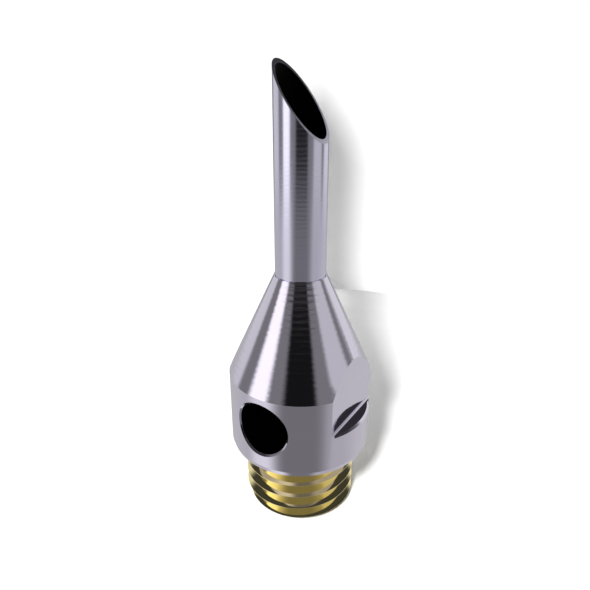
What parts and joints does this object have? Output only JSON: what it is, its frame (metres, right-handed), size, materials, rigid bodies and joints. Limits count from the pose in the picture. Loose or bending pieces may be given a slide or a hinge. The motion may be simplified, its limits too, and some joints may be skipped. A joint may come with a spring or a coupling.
{
  "type": "oil burner nozzle",
  "caption": "Turned burner nozzle with a threaded inlet, cross-drilled air ports, wrench flats, a conical body and a bevel-cut outlet tube.",
  "frame": {"origin": "centre of the threaded inlet end's face, the lowest point of the nozzle", "axes": "+Z along the nozzle axis towards the outlet; the air ports look along +Y and -Y; the wrench flats face +X and -X; the outlet's bevel is lowest on the +X side"},
  "size_m": [0.015, 0.015, 0.0458],
  "materials": {
    "plated_steel": "polished nickel plate over fine turning marks",
    "tube_steel": "satin plate with fine turning rings",
    "brass": "machined",
    "jet_steel": "fine ground",
    "spring_steel": "dark oiled",
    "seal_rubber": "matt"
  },
  "bodies": {
    "nozzle": {"nozzle_body": "plated_steel", "outlet_tube": "tube_steel", "jet_body": "brass", "jet_o_ring": "seal_rubber", "orifice_disc": "jet_steel", "swirl_distributor": "brass", "lock_screw": "brass", "valve_seat": "brass", "valve_spring": "spring_steel", "strainer_holder": "brass", "strainer_disc": "brass", "strainer_clamp": "brass", "snap_ring": "spring_steel"},
    "valve": {"valve_ball": "jet_steel"}
  },
  "joints": [
    {"name": "valve_lift", "type": "slide", "parent": "nozzle", "child": "valve", "axis": [0, 0, 1], "range_m": [0, 0.0005], "stiffness_N_per_m": 120, "springref_m": -0.0004, "deforming": ["valve_spring"]}
  ]
}
